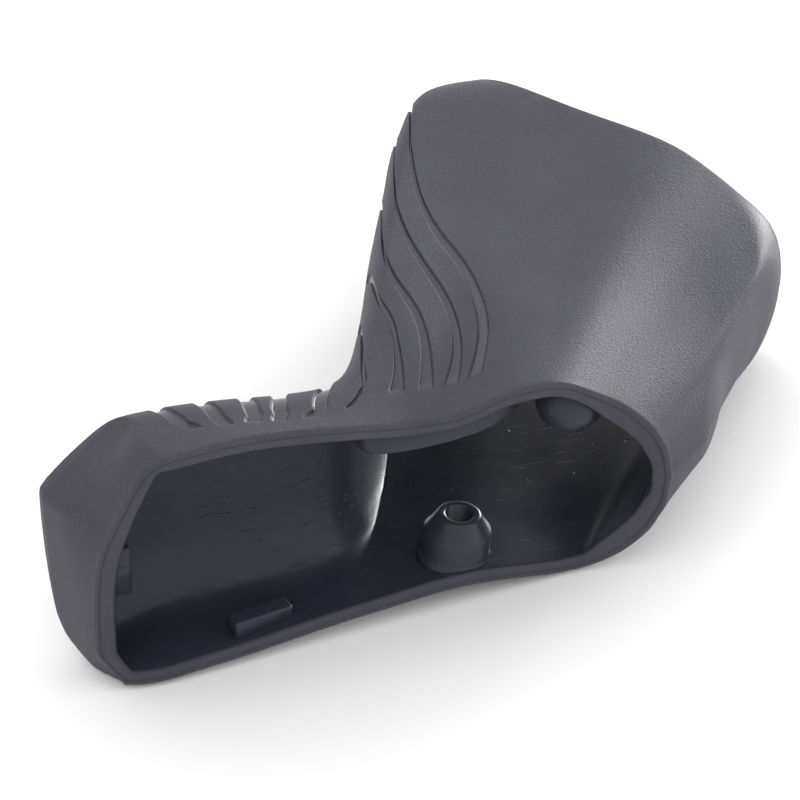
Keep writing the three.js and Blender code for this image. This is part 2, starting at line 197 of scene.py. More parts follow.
# %% [markdown]
# ## The inside wall
# A moulded boot has an even wall. A solidify modifier could add it, but its faces crowd where the
# skin turns tightly. So the skin is drawn a second time, moved inward along its normal. Below the
# nose the boot is so narrow that the normals are unsteady, and there each station is itself drawn
# smaller by the wall.

# %% Skin at a depth
WALL = 2.2
NARROW_FROM_TO = (14.5, 16.0)
NEARBY = 0.05


def inset_station(v, inset):
    """A station drawn smaller by the wall, for the narrow front where normals are unsteady."""
    near_x, near_y, far_x, bow, edge_up, edge_low, rim_up, rim_low, rounding, soft = station_at(v)
    ahead, behind = station_at(np.minimum(v + NEARBY, LAST)), station_at(np.maximum(v - NEARBY, 0))
    along_x, along_y = ahead[0] - behind[0], ahead[1] - behind[1]
    size = np.hypot(along_x, along_y)
    in_x, in_y = inset * along_y / size, -inset * along_x / size
    length = np.hypot(far_x - near_x, FAR_Y - near_y)
    to_x, to_y = (far_x - near_x) / length, (FAR_Y - near_y) / length
    aside = in_x * to_y - in_y * to_x
    far_x = far_x + aside / to_y
    rounding = np.maximum(rounding - inset, 1.0)
    halves = [np.maximum(half - inset, 0.3) for half in (edge_up, edge_low, rim_up, rim_low)]
    return near_x + in_x, near_y + in_y, far_x, bow, *halves, rounding, soft


def skin_point(v, t, depth, squeeze=1.0):
    """Skin moved inward by depth and trimmed at the toe; squeeze narrows the closing end strips."""
    point = full_point(v, t) - skin_normal(v, t) * np.asarray(depth)[..., None]
    if np.min(depth) >= WALL:
        narrow = smooth(*NARROW_FROM_TO, v)[..., None]
        point = point * (1 - narrow) + full_point(v, t, WALL) * narrow
    point[..., 2] *= squeeze
    limit = toe_limit(point[..., 1], point[..., 2]) + depth
    softness = 2.5 - 2.0 * smooth(8, 14, point[..., 1]) * (depth < WALL)
    point[..., 0] = soft_max(point[..., 0], limit, softness)
    return point


inside_top = skin_point(np.array([12.2]), np.array([0.0]), np.array([WALL]))[0]
print("inside's highest point:", np.round(inside_top, 1))

# %% [markdown]
# ## Where the two openings cut the boot
# The bar mouth is cut by a line that is straight in the middle and curls at the toe and the heel.
# The blade opening is a straight slice across the front of the horn. Each cut stops a little early,
# so that a rounded lip can be rolled over the edge of the wall, as on a trimmed moulding.

# %% Openings
LIP = 0.55
HEEL_CURL = 3.6
BLADE_TOP = np.array([78.0, 76.0])
BLADE_LOW = np.array([107.0, 31.5])
blade_along = (BLADE_LOW - BLADE_TOP) / np.linalg.norm(BLADE_LOW - BLADE_TOP)
BLADE_FRONT = np.array([-blade_along[1], blade_along[0], 0.0])


def mouth_line(x):
    toe = TOE_CURL * (np.maximum(10 - x, 0) / 10) ** 2
    heel = -HEEL_CURL * (np.maximum(x - 60, 0) / 13) ** 2
    return toe + heel


def mouth_out(x):
    """Unit direction out of the mouth, square to its line."""
    slope = (mouth_line(x + 0.01) - mouth_line(x - 0.01)) / 0.02
    out = np.stack([slope, -np.ones_like(slope), np.zeros_like(slope)], axis=-1)
    return out / np.linalg.norm(out, axis=-1, keepdims=True)


def side_at_mouth(v, sign, depth, squeeze):
    """Side value where a station's line reaches the lip."""
    low, high = np.full_like(v, 0.05), np.ones_like(v)
    for _ in range(40):
        middle = (low + high) / 2
        point = skin_point(v, sign * middle, depth, squeeze)
        above = point[..., 1] - mouth_line(point[..., 0]) > LIP
        low, high = np.where(above, middle, low), np.where(above, high, middle)
    return (low + high) / 2


print("mouth from toe to heel, y:", [round(float(mouth_line(x)), 2) for x in (0.0, 30.0, 67.0)])

# %% [markdown]
# ## Grip grooves
# Ten shallow channels fan out over the back and down both flanks, close together on the palm and
# wide apart on the horn. Each one is a path of stations, and its section has steep walls and a flat
# floor. They are real geometry, because a bump map would leave the outline of the back smooth.

# %% Groove paths
# Side values, then the station of each groove's middle at those side values
PATH_AT = [0.0, 0.30, 0.40, 0.45, 0.50, 0.55, 0.60, 0.65, 0.70, 0.75, 0.80, 1.0]
GROOVE_PATHS = np.array([
    [3.02, 3.05, 3.10, 3.20, 3.24, 3.27, 3.29, 3.31, 3.33, 3.34, 3.35, 3.35],
    [3.70, 3.71, 3.73, 3.76, 3.77, 3.78, 3.79, 3.80, 3.81, 3.81, 3.81, 3.81],
    [4.38, 4.38, 4.37, 4.33, 4.31, 4.29, 4.27, 4.26, 4.25, 4.24, 4.23, 4.23],
    [4.98, 4.95, 4.86, 4.76, 4.73, 4.71, 4.70, 4.69, 4.68, 4.67, 4.66, 4.66],
    [6.05, 5.98, 5.70, 5.58, 5.50, 5.43, 5.38, 5.34, 5.31, 5.28, 5.25, 5.25],
    [7.85, 7.65, 7.20, 7.00, 6.86, 6.76, 6.67, 6.58, 6.49, 6.39, 6.29, 6.29],
    [8.72, 8.60, 8.42, 8.42, 8.48, 8.48, 8.34, 8.20, 8.06, 7.92, 7.78, 7.78],
    [10.30, 9.70, 9.20, 9.14, 9.14, 9.20, 9.31, 9.34, 9.25, 9.06, 8.86, 8.86],
    [11.12, 10.88, 10.30, 10.05, 9.98, 10.03, 10.15, 10.37, 10.52, 10.40, 9.80, 9.80],
    [11.62, 11.52, 11.34, 11.18, 10.90, 10.85, 10.98, 11.31, 11.48, 11.50, 10.85, 10.85],
])
GROOVE_DEPTH = 0.48
BUNDLE = 1.3
# Offset from the groove's middle in mm, and how deep the skin lies there
ACROSS = [(-1.3, 0), (-1.16, 0.0), (-1.06, 0.13), (-0.92, 0.6), (-0.8, 0.93), (-0.66, 1), (-0.22, 1),
          (0.22, 1), (0.66, 1), (0.8, 0.93), (0.92, 0.6), (1.06, 0.13), (1.16, 0.0), (1.3, 0)]
print("grooves:", len(GROOVE_PATHS), "depth in mm:", GROOVE_DEPTH)

# %% [markdown]
# ## Rows of the mesh
# The grooves follow the stations, so the rows of the mesh do too: a bundle of rows runs along
# every groove and shapes its walls and floor, and plain rows share out the land between two.
# A groove that crossed the mesh at an angle would need far more faces for the same crisp edge.

# %% Rows
ROW_STEP = 0.9


def span(v, t):
    """Millimetres that the skin moves on in one station."""
    v0, v1 = np.clip(v - SLOPE_STEP, 0, LAST), np.clip(v + SLOPE_STEP, 0, LAST)
    return np.linalg.norm(full_point(v1, t) - full_point(v0, t), axis=-1) / (v1 - v0)


def groove_middles(t):
    """Station of every groove's middle at side value t, on a smooth path through its values."""
    at = abs(t)
    near = [np.interp(at + shift, PATH_AT, path) for path in GROOVE_PATHS for shift in (-0.025, 0, 0.025)]
    return np.array(near).reshape(-1, 3) @ np.array([0.25, 0.5, 0.25])


def bundle_reach(t):
    """Half width of every groove's bundle, in stations, at side value t."""
    middles = groove_middles(t)
    gap = np.diff(middles, prepend=middles[0] - 1, append=middles[-1] + 1)
    room = 0.45 * np.minimum(gap[:-1], gap[1:])
    return BUNDLE / np.maximum(span(middles, np.full(len(middles), t)), BUNDLE / room)


def make_rows():
    """Rows in order: (groove, offset share, depth) in a bundle, (land, place, 0) on a land."""
    rows = []
    ends = np.concatenate([[0], groove_middles(0.0), [LAST]])
    profile_reach = np.concatenate([[0], bundle_reach(0.0), [0]])
    for land in range(len(ends) - 1):
        low = ends[land] + profile_reach[land]
        high = ends[land + 1] - profile_reach[land + 1]
        fine = np.linspace(low, high, 60)
        length = span((fine[1:] + fine[:-1]) / 2, np.zeros(59)) @ np.diff(fine)
        count = max(2, int(length / (ROW_STEP if land else 0.4 * ROW_STEP)))
        first = 0 if land == 0 else 1
        final = count if land == len(ends) - 2 else count - 1
        rows += [("land", land, k / count, 0.0) for k in range(first, final + 1)]
        if land < len(GROOVE_PATHS):
            rows += [("groove", land, offset / BUNDLE, depth) for offset, depth in ACROSS]
    return rows


def row_stations(rows, t):
    """Station of every row at side value t."""
    reach = np.concatenate([[0], bundle_reach(t), [0]])
    middles = groove_middles(t)
    ends = np.concatenate([[0], middles, [LAST]])
    stations = []
    for kind, index, place, _ in rows:
        if kind == "groove":
            stations.append(middles[index] + place * reach[index + 1])
        else:
            low = ends[index] + reach[index]
            high = ends[index + 1] - reach[index + 1]
            stations.append(low + place * (high - low))
    return np.array(stations)


ROWS = make_rows()
row_depth = np.array([row[3] for row in ROWS])
print("rows along the skin:", len(ROWS))

# %% [markdown]
# ## The outer and the inner skin
# Both skins use the same rows, so their lips can be joined one to one at the bar mouth. Every row
# is stretched so that it ends just at the lip, which keeps the mouth's edge clean without a cut.

# %% Side values
# Steps on the rounded edge, on the flank and beside the lip
OUTER_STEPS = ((24, 26, 8))
INNER_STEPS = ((14, 16, 6))


def side_values(edge, flank, lip):
    """Nominal side values of one side, from the profile to the mouth."""
    values = [EDGE_SHARE * k / edge for k in range(1, edge + 1)]
    values += [EDGE_SHARE + (GROOVE_SHARE - EDGE_SHARE) * k / flank for k in range(1, flank + 1)]
    values += [GROOVE_SHARE + (1 - GROOVE_SHARE) * k / lip for k in range(1, lip + 1)]
    return np.array(values)


def side_table(depth, last):
    """Side value at the lip for many stations, on the lower and the upper flank."""
    v = np.linspace(0, last, 900)
    d = np.full_like(v, depth)
    one = np.ones_like(v)
    return v, side_at_mouth(v, -1, d, one), side_at_mouth(v, 1, d, one)


def fitted(nominal, mouth):
    """Side values squeezed so that they end at the mouth."""
    edge = np.minimum(EDGE_SHARE, 0.5 * mouth)
    stop = np.minimum(GROOVE_SHARE, mouth - 0.08 * mouth)
    a = np.abs(nominal)
    on_edge = a / EDGE_SHARE * edge
    on_flank = edge + (a - EDGE_SHARE) / (GROOVE_SHARE - EDGE_SHARE) * (stop - edge)
    on_lip = stop + (a - GROOVE_SHARE) / (1 - GROOVE_SHARE) * (mouth - stop)
    outside_edge = np.where(a <= GROOVE_SHARE, on_flank, on_lip)
    return np.sign(nominal) * np.where(a <= EDGE_SHARE, on_edge, outside_edge)


print("side values on one flank:", len(side_values(*OUTER_STEPS)))

# %% [markdown]
# ## Closing the ends
# At the toe and the heel the skin still has a width, so a few more rows, each one narrower than
# the last, close the sheet along its middle. A flat cap would show as a patch in the soft light.

# %% Grids
SQUEEZES = [0.75, 0.5, 0.25, 0.0]
HEEL_EASE = 18.0
# A groove fades out over this stretch of side values
FADE_FROM, FADE_TO = GROOVE_SHARE - 0.012, GROOVE_SHARE + 0.004


def groove_fade(t):
    """Grooves run over the profile and down both flanks, and stop square above the lip."""
    return 1 - smooth(FADE_FROM, FADE_TO, np.abs(t))


def skin_grid(depth, last, steps):
    """Points and groove mask of a skin, rows by columns, from the lower lip to the upper lip."""
    side = side_values(*steps)
    nominal = np.concatenate([-side[::-1], [0.0], side])
    v = np.stack([row_stations(ROWS, t) for t in nominal], axis=1)
    if last < LAST:
        eased = HEEL_EASE + (v - HEEL_EASE) * (last - HEEL_EASE) / (LAST - HEEL_EASE)
        v = np.where(v > HEEL_EASE, eased, v)
    table_v, low_side, up_side = side_table(depth, last)
    mouth = np.where(nominal < 0, np.interp(v, table_v, low_side), np.interp(v, table_v, up_side))
    t = fitted(np.broadcast_to(nominal, v.shape), mouth)
    sunk = row_depth[:, None] * groove_fade(t) * GROOVE_DEPTH if depth == 0 else np.zeros_like(t)
    points = skin_point(v, t, sunk + depth)
    mask = row_depth[:, None] * groove_fade(t)
    rows, masks = [points], [mask]
    for squeeze in SQUEEZES:
        for at_toe in (True, False):
            end = np.full_like(nominal, 0.0 if at_toe else last)
            d = np.full_like(end, depth)
            narrow = np.full_like(end, squeeze)
            low = side_at_mouth(end[:1], -1, d[:1], narrow[:1])
            up = side_at_mouth(end[:1], 1, d[:1], narrow[:1])
            if squeeze == 0:
                low = up = (low + up) / 2
            reach = np.where(nominal < 0, low, up)
            t_end = fitted(nominal, reach)
            line = skin_point(end, t_end, d, squeeze)
            if squeeze == 0:
                line = (line + line[::-1]) / 2
                line[:, 2] = 0
            for stack, value in ((rows, line), (masks, end * 0)):
                if at_toe:
                    stack.insert(0, value[None])
                else:
                    stack.append(value[None])
    return np.concatenate(rows), np.concatenate(masks)


# The inside wall ends where the boot becomes too narrow for two walls
INNER_LAST = 19.25
outer_points, outer_mask = skin_grid(0.0, LAST, OUTER_STEPS)
inner_points, inner_mask = skin_grid(WALL, INNER_LAST, INNER_STEPS)
print("outer grid", outer_points.shape, "inner grid", inner_points.shape)

# %% [markdown]
# ## From grids to triangles
# A grid becomes a mesh by splitting each of its squares. The closed end rows are welded along their
# middle, so that the skin has no seam there that the light could find.

# %% Triangles


def grid_mesh(points):
    """Vertices and triangles of a grid, with each squeezed end row welded along its middle."""
    rows, columns = points.shape[:2]
    index = np.arange(rows * columns).reshape(rows, columns)
    half = columns // 2
    for row in (0, rows - 1):
        index[row, :half] = index[row, ::-1][:half]
    a, b = index[:-1, :-1], index[:-1, 1:]
    c, d = index[1:, 1:], index[1:, :-1]
    first = np.stack([a, b, c], axis=-1).reshape(-1, 3)
    second = np.stack([a, c, d], axis=-1).reshape(-1, 3)
    faces = np.concatenate([first, second])
    distinct = (faces[:, 0] != faces[:, 1]) & (faces[:, 1] != faces[:, 2]) & (faces[:, 0] != faces[:, 2])
    return points.reshape(-1, 3), faces[distinct], index


def vertex_normals(points, faces):
    corner = points[faces]
    normal = np.cross(corner[:, 1] - corner[:, 0], corner[:, 2] - corner[:, 0])
    total = np.zeros_like(points)
    for k in range(3):
        np.add.at(total, faces[:, k], normal)
    return total / np.maximum(np.linalg.norm(total, axis=1, keepdims=True), 1e-12)


outer_vertices, outer_faces, outer_index = grid_mesh(outer_points)
inner_vertices, inner_faces, inner_index = grid_mesh(inner_points)
print("triangles outside:", len(outer_faces), "inside:", len(inner_faces))

# %% [markdown]
# ## Slicing the horn open
# The lever blade comes out of a straight, slanted opening at the front of the horn. Triangles in
# front of its plane go, triangles on it are split, and corners that lie very near are pulled onto
# it, so that no sliver is left, as a boolean cut often leaves. Each vertex carries two values for
# the rubber: how deep in a groove it lies, and how far inside the boot.

# %% Blade opening
SLIVER = 0.09


def slice_off(points, faces, extra, level):
    """Cuts away what lies in front of the blade opening. Returns the cut's vertices in order."""
    origin = np.array([BLADE_LOW[0], BLADE_LOW[1], 0.0])
    distance = (points - origin) @ BLADE_FRONT - level
    near = np.abs(distance) < SLIVER
    points = points - np.where(near, distance, 0)[:, None] * BLADE_FRONT
    distance = np.where(near, 0.0, distance)
    point_list, extra_list = list(points), list(extra)
    cut = {}

    def crossing(i, j):
        key = (min(i, j), max(i, j))
        if key not in cut:
            share = distance[i] / (distance[i] - distance[j])
            cut[key] = len(point_list)
            point_list.append(points[i] + share * (points[j] - points[i]))
            extra_list.append(extra[i] + share * (extra[j] - extra[i]))
        return cut[key]

    on_plane = set(np.nonzero(distance == 0)[0].tolist())
    behind = (distance[faces] <= 0).all(axis=1) & (distance[faces] < 0).any(axis=1)
    across = (distance[faces] < 0).any(axis=1) & (distance[faces] > 0).any(axis=1)
    kept = faces[behind].tolist()
    for face in faces[across].tolist():
        loop = []
        for k in range(3):
            i, j = face[k], face[(k + 1) % 3]
            if distance[i] <= 0:
                loop.append(i)
            if distance[i] * distance[j] < 0:
                loop.append(crossing(i, j))
        for k in range(1, len(loop) - 1):
            kept.append([loop[0], loop[k], loop[k + 1]])
    on_plane.update(cut.values())
    kept = np.array(kept)
    edges = {}
    for a, b, c in kept.tolist():
        for i, j in ((a, b), (b, c), (c, a)):
            if i in on_plane and j in on_plane:
                edges[(i, j)] = True
    follow = {i: j for i, j in edges if (j, i) not in edges}
    start = next(iter(follow))
    loop, at = [start], follow[start]
    while at != start:
        loop.append(at)
        at = follow[at]
    return np.array(point_list), kept, np.array(extra_list), loop


outer_extra = np.column_stack([outer_mask.ravel(), np.zeros(outer_mask.size)])
inner_extra = np.column_stack([np.zeros(inner_mask.size), np.ones(inner_mask.size)])
outer_vertices, outer_faces, outer_extra, outer_loop = slice_off(
    outer_vertices, outer_faces, outer_extra, -LIP)
inner_vertices, inner_faces, inner_extra, inner_loop = slice_off(
    inner_vertices, inner_faces, inner_extra, -LIP)
outer_normals = vertex_normals(outer_vertices, outer_faces)
inner_normals = vertex_normals(inner_vertices, inner_faces)
print("points round the blade opening, outside and inside:", len(outer_loop), len(inner_loop))

# %% [markdown]
# ## Gathering the boot strip by strip
# The boot is one moulding, so everything ends in one mesh. This small class keeps the vertices, the
# triangles and the two values of each vertex, and it turns each strip so that it faces the way it
# should, because one strip the wrong way round would show dark.

# %% Shell
class Shell:
    """Vertices, faces, and each vertex's groove depth and inside share for the rubber."""

    def __init__(self):
        self.points, self.faces, self.extra, self.count = [], [], [], 0

    def add_points(self, points, extra):
        start = self.count
        self.points.append(np.asarray(points, float))
        self.extra.append(np.broadcast_to(np.asarray(extra, float), (len(points), 2)))
        self.count += len(points)
        return np.arange(start, self.count)

    def add_faces(self, faces):
        self.faces.append(np.asarray(faces, int))

    def all_points(self):
        return np.concatenate(self.points)

    def triangles(self):
        return sum(len(faces) for faces in self.faces)

    def add_strip(self, one, two, towards):
        """Closed band of triangles between two equal loops; towards is the side it should face."""
        a, b = np.asarray(one), np.roll(one, -1)
        c, d = np.roll(two, -1), np.asarray(two)
        faces = np.concatenate([np.stack([a, b, c], 1), np.stack([a, c, d], 1)])
        self.add_facing(faces, np.concatenate([towards, towards]))

    def add_facing(self, faces, towards):
        where = self.all_points()
        corner = where[faces]
        normal = np.cross(corner[:, 1] - corner[:, 0], corner[:, 2] - corner[:, 0])
        if np.sum(normal * towards) < 0:
            faces = faces[:, ::-1]
        self.add_faces(faces)


shell = Shell()
outer_ids = shell.add_points(outer_vertices, outer_extra)
shell.add_faces(outer_faces)
inner_ids = shell.add_points(inner_vertices, inner_extra)
shell.add_faces(inner_faces[:, ::-1] + inner_ids[0])
print("points of the two skins:", shell.count)

# %% [markdown]
# ## Rolling the lips
# Both openings are edges that a hand feels, so they are rounded. A lip is three strips: round the
# outer corner, across the flat of the wall, and round the inner corner. A bevel modifier can't
# tell these edges from the grooves' edges. At the bar mouth the two skins have the same number of
# points. At the blade opening they don't, so there the flat is zipped by the points' angle.

# %% Lips
LIP_TURNS = 5
# How far inside the boot the flat of a lip counts, between 0 outside and 1 inside
LIP_INSIDE = 0.1
# Fine line that the trimmed mouth shows: share of the flat, then its depth
LIP_LINE = [(0.10, 0.0), (0.15, 0.14), (0.22, 0.14), (0.28, 0.0)]


def rolled(points, normals, out, inward_sign):
    """Rows of points that turn round one corner of the wall, from the skin to the cut."""
    flat = normals - np.sum(normals * out, axis=1, keepdims=True) * out
    flat = inward_sign * flat / np.linalg.norm(flat, axis=1, keepdims=True)
    for _ in range(4):
        flat = flat + np.roll(flat, 1, axis=0) + np.roll(flat, -1, axis=0)
        flat /= np.linalg.norm(flat, axis=1, keepdims=True)
    rows = []
    for k in range(1, LIP_TURNS + 1):
        angle = k / LIP_TURNS * math.pi / 2
        rows.append(points + LIP * (1 - math.cos(angle)) * flat + LIP * math.sin(angle) * out)
    return rows


def zip_loops(points, one, two, centre, across, along):
    """Triangles between two unequal loops, stepping along both by their angle round the centre."""
    def ordered(loop):
        flat = points[loop] - centre
        angle = np.arctan2(flat @ along, flat @ across)
        order = np.argsort(angle)
        return np.asarray(loop)[order], angle[order]
    first, first_angle = ordered(one)
    second, second_angle = ordered(two)
    i = j = 0
    faces = []
    n, m = len(first), len(second)
    while i < n or j < m:
        next_first = first_angle[i + 1] if i + 1 < n else first_angle[0] + 2 * math.pi
        next_second = second_angle[j + 1] if j + 1 < m else second_angle[0] + 2 * math.pi
        if j >= m or (i < n and next_first <= next_second):
            faces.append([first[i % n], first[(i + 1) % n], second[j % m]])
            i += 1
        else:
            faces.append([first[i % n], second[(j + 1) % m], second[j % m]])
            j += 1
    return np.array(faces)


def ring_of(index):
    """Vertices round the mouth: down one lip and back up the other."""
    return np.concatenate([index[:, -1], index[-2:0:-1, 0]])


def lip(outer_ring, inner_ring, out, equal):
    """Rolls the lip between an outer ring and an inner ring of one opening."""
    out_outer, out_inner = out(outer_vertices[outer_ring]), out(inner_vertices[inner_ring])
    outer_rows = rolled(outer_vertices[outer_ring], outer_normals[outer_ring], out_outer, -1)
    inner_rows = rolled(inner_vertices[inner_ring], inner_normals[inner_ring], out_inner, 1)
    before = outer_ids[outer_ring]
    for k, row in enumerate(outer_rows):
        ids = shell.add_points(row, (0, LIP_INSIDE * (k + 1) / LIP_TURNS))
        facing = outer_normals[outer_ring] * (1 - k / LIP_TURNS) + out_outer * (k / LIP_TURNS)
        shell.add_strip(before, ids, facing)
        before = ids
    outer_edge, before = before, inner_ids[inner_ring]
    for k, row in enumerate(inner_rows):
        ids = shell.add_points(row, (0, 1 - (1 - LIP_INSIDE) * (k + 1) / LIP_TURNS))
        facing = -inner_normals[inner_ring] * (1 - k / LIP_TURNS) + out_inner * (k / LIP_TURNS)
        shell.add_strip(before, ids, facing)
        before = ids
    if equal:
        edge_from, edge_to = shell.all_points()[outer_edge], shell.all_points()[before]
        for share, depth in LIP_LINE:
            row = edge_from * (1 - share) + edge_to * share - depth * out_outer
            ids = shell.add_points(row, (0, LIP_INSIDE))
            shell.add_strip(outer_edge, ids, out_outer)
            outer_edge = ids
        shell.add_strip(outer_edge, before, out_outer)
        return
    where = shell.all_points()
    centre = where[before].mean(axis=0)
    along = np.array([0.0, 0.0, 1.0])
    across = np.cross(BLADE_FRONT, along)
    faces = zip_loops(where, outer_edge, before, centre, across, along)
    shell.add_facing(faces, np.tile(BLADE_FRONT, (len(faces), 1)))


lip(ring_of(outer_index), ring_of(inner_index), lambda p: mouth_out(p[:, 0]), True)
lip(np.array(outer_loop), np.array(inner_loop), lambda p: np.tile(BLADE_FRONT, (len(p), 1)), False)
print("triangles with the lips:", shell.triangles())

# %% [markdown]
# ## Studs inside the boot
# Two studs hold the boot to the lever: one with a blind hole stands on the lower flank, and a plain
# one hangs from the upper flank. Each is turned from a drawn section, whose foot flares and sinks
# into the wall as a moulding's does. A cylinder with bevels would need a cut for the hole and a
# second one for the flare.

# %% Studs
# Where each stud's top is, and its lean in degrees
HOLED_STUD_AT, HOLED_STUD_LEAN = (48.7, 5.3, -5.8), 5
PLAIN_STUD_AT, PLAIN_STUD_LEAN = (62.6, 5.2, 5.6), 15


def add_body(points, faces):
    ids = shell.add_points(points, (0, 1))
    shell.add_faces(np.asarray(faces) + ids[0])


def turn_about_y(angle):
    c, s = math.cos(angle), math.sin(angle)
    return np.array([[c, 0, s], [0, 1, 0], [-s, 0, c]])


def ring_faces(rings, n):
    """Triangles between rings of n points each."""
    faces = []
    for i in range(rings - 1):
        for j in range(n):
            a, b = i * n + j, i * n + (j + 1) % n
            c, d = b + n, a + n
            faces += [[a, c, b], [a, d, c]]
    return faces


def turned_body(profile, at, lean, flip, segments=48):
    """Body turned about z from radius and height pairs, top at height zero."""
    profile = np.array(profile, float)
    angle = np.arange(segments) * 2 * math.pi / segments
    points = []
    for radius, height in profile:
        level = np.full(segments, height)
        points.append(np.stack([radius * np.cos(angle), radius * np.sin(angle), level], 1))
    points = np.concatenate(points)
    n = len(profile)
    faces = ring_faces(n, segments)
    points = np.concatenate([points, [[0, 0, profile[0, 1]], [0, 0, profile[-1, 1]]]])
    top, foot = len(points) - 2, len(points) - 1
    for j in range(segments):
        faces.append([top, j, (j + 1) % segments])
        last = (n - 1) * segments
        faces.append([foot, last + (j + 1) % segments, last + j])
    turn = turn_about_y(math.radians(lean))
    if flip:
        turn = turn @ np.diag([1, -1, -1])
    return points @ turn.T + np.array(at), np.array(faces)


def arc(centre, radius, start, end, count):
    return [(centre[0] + radius * math.cos(math.radians(a)), centre[1] + radius * math.sin(math.radians(a)))
            for a in np.linspace(start, end, count)]


# Sections as radius and height, from the middle of the top, over the rim and down to the foot
stud = [(1.75, -5.0), (1.75, -0.35)] + arc((2.1, -0.35), 0.35, 180, 90, 4) + arc((2.45, -0.5), 0.5, 90, 30, 4)
stud += [(4.1, -2.3)] + arc((3.9, -2.7), 0.5, 30, 0, 3) + [(4.4, -5.4)]
stud += [(4.5, -5.7), (4.7, -6.0), (4.95, -6.2), (4.95, -7.2)]
add_body(*turned_body(stud, HOLED_STUD_AT, HOLED_STUD_LEAN, False))
plain = [(0.01, 0.0), (2.8, 0.0)] + arc((2.8, -0.6), 0.6, 90, 30, 4) + [(4.2, -1.8), (4.4, -2.4), (4.4, -6.6)]
add_body(*turned_body(plain, PLAIN_STUD_AT, PLAIN_STUD_LEAN, True))
print("triangles with the studs:", shell.triangles())

# %% [markdown]
# ## Blocks inside the boot
# A small block beside the rim and a stop block at the toe keep the boot from turning and sliding
# on the lever. They are boxes with rolled upper edges, built ring by ring: their feet stay plain,
# because they are inside the wall.

# %% Blocks
# Half sizes and place of each block, in mm, and its turn in degrees
RIM_BLOCK, RIM_BLOCK_AT, RIM_BLOCK_TURN = (4.0, 1.3, 2.0), (21.0, 2.9, -14.2), 8
TOE_BLOCK, TOE_BLOCK_AT, TOE_BLOCK_TURN = (1.9, 3.0, 3.5), (2.7, 6.0, -1.5), 0


def turn_about_z(angle):
    c, s = math.cos(angle), math.sin(angle)
    return np.array([[c, -s, 0], [s, c, 0], [0, 0, 1]])


def box_body(half, at, turn, corner):
    """Box with rounded corners, where corner is their radius."""
    steps = np.linspace(0, math.pi / 2, 5)
    signs = [(1, 1), (-1, 1), (-1, -1), (1, -1)]
    def ring(inset, z):
        out = []
        for k, (sx, sy) in enumerate(signs):
            for a in steps:
                b = a + k * math.pi / 2
                r = corner - inset
                x = sx * (half[0] - corner) + r * math.cos(b)
                y = sy * (half[1] - corner) + r * math.sin(b)
                out.append((x, y, z))
        return out
    rows = []
    for a in steps:
        rows.append(ring(corner * (1 - math.sin(a)), half[2] - corner + corner * math.cos(a)))
    rows.append(ring(0, -half[2]))
    points = np.array([p for row in rows for p in row])
    n = len(rows[0])
    faces = ring_faces(len(rows), n)
    for j in range(1, n - 1):
        faces.append([0, j, j + 1])
        last = (len(rows) - 1) * n
        faces.append([last, last + j + 1, last + j])
    return points @ turn_about_z(math.radians(turn)).T + np.array(at), np.array(faces)


add_body(*box_body(RIM_BLOCK, RIM_BLOCK_AT, RIM_BLOCK_TURN, 0.35))
add_body(*box_body(TOE_BLOCK, TOE_BLOCK_AT, TOE_BLOCK_TURN, 0.5))
print("triangles with the blocks:", shell.triangles())

# %% [markdown]
# ## The pad at the waist
# A thick pad fills the waist on the upper flank. Its outline is drawn by a few corners that
# are cut again and again until they are smooth, and only its lower rim is rounded, since the rest is
# inside the wall.

# %% Pad
# Outline of the pad, x and y, turning left
PAD = [(34.0, 9.5), (34.2, 4.5), (36.0, 1.8), (43.0, 1.2), (51.0, 2.0), (57.0, 5.0), (57.0, 9.5)]
PAD_FROM, PAD_TO = 8.6, 13.0


def pad_body(outline, low, high, corner=0.6):
    """Flat pad with a rounded lower rim, its outline's corners cut three times."""
    edge = np.array(outline, float)
    for _ in range(3):
        after = np.roll(edge, -1, axis=0)
        cuts = [0.75 * edge + 0.25 * after, 0.25 * edge + 0.75 * after]
        edge = np.stack(cuts, axis=1).reshape(-1, 2)
    turn = np.roll(edge, -1, axis=0) - np.roll(edge, 1, axis=0)
    out_way = np.stack([turn[:, 1], -turn[:, 0]], axis=1)
    out_way = out_way / np.linalg.norm(turn, axis=1, keepdims=True)
    rows = []
    for a in np.linspace(0, math.pi / 2, 5):
        inset, z = corner * (1 - math.sin(a)), low + corner * (1 - math.cos(a))
        rows.append(np.column_stack([edge - out_way * inset, np.full(len(edge), z)]))
    rows.append(np.column_stack([edge, np.full(len(edge), high)]))
    n, count = len(edge), len(rows)
    middle = edge.mean(axis=0)
    points = np.concatenate(rows + [[[*middle, low], [*middle, high]]])
    faces = []
    for j in range(n):
        k = (j + 1) % n
        for i in range(count - 1):
            here, there = i * n, (i + 1) * n
            faces += [[here + j, here + k, there + k], [here + j, there + k, there + j]]
        last = (count - 1) * n
        faces += [[count * n, k, j], [count * n + 1, last + j, last + k]]
    return points, np.array(faces)


add_body(*pad_body(PAD, PAD_FROM, PAD_TO))
print("triangles with the pad:", shell.triangles())

# %% [markdown]
# ## Laying the boot on the table
# The boot rests on the toe's corner, the heel and the lower edge of the blade opening, so it is
# turned by a few degrees, and its lowest point is put on the table. The turn is part of the mesh and
# not of the object, so the boot and its solid stay in one frame.

# %% Place the mesh
ROLL, PITCH = math.radians(0.32), math.radians(3.12)
MIDDLE = (51.10, 37.98)
roll_turn = np.array([[1, 0, 0], [0, math.cos(ROLL), -math.sin(ROLL)], [0, math.sin(ROLL), math.cos(ROLL)]])
LAY = turn_about_y(PITCH) @ roll_turn
laid = shell.all_points() @ LAY.T
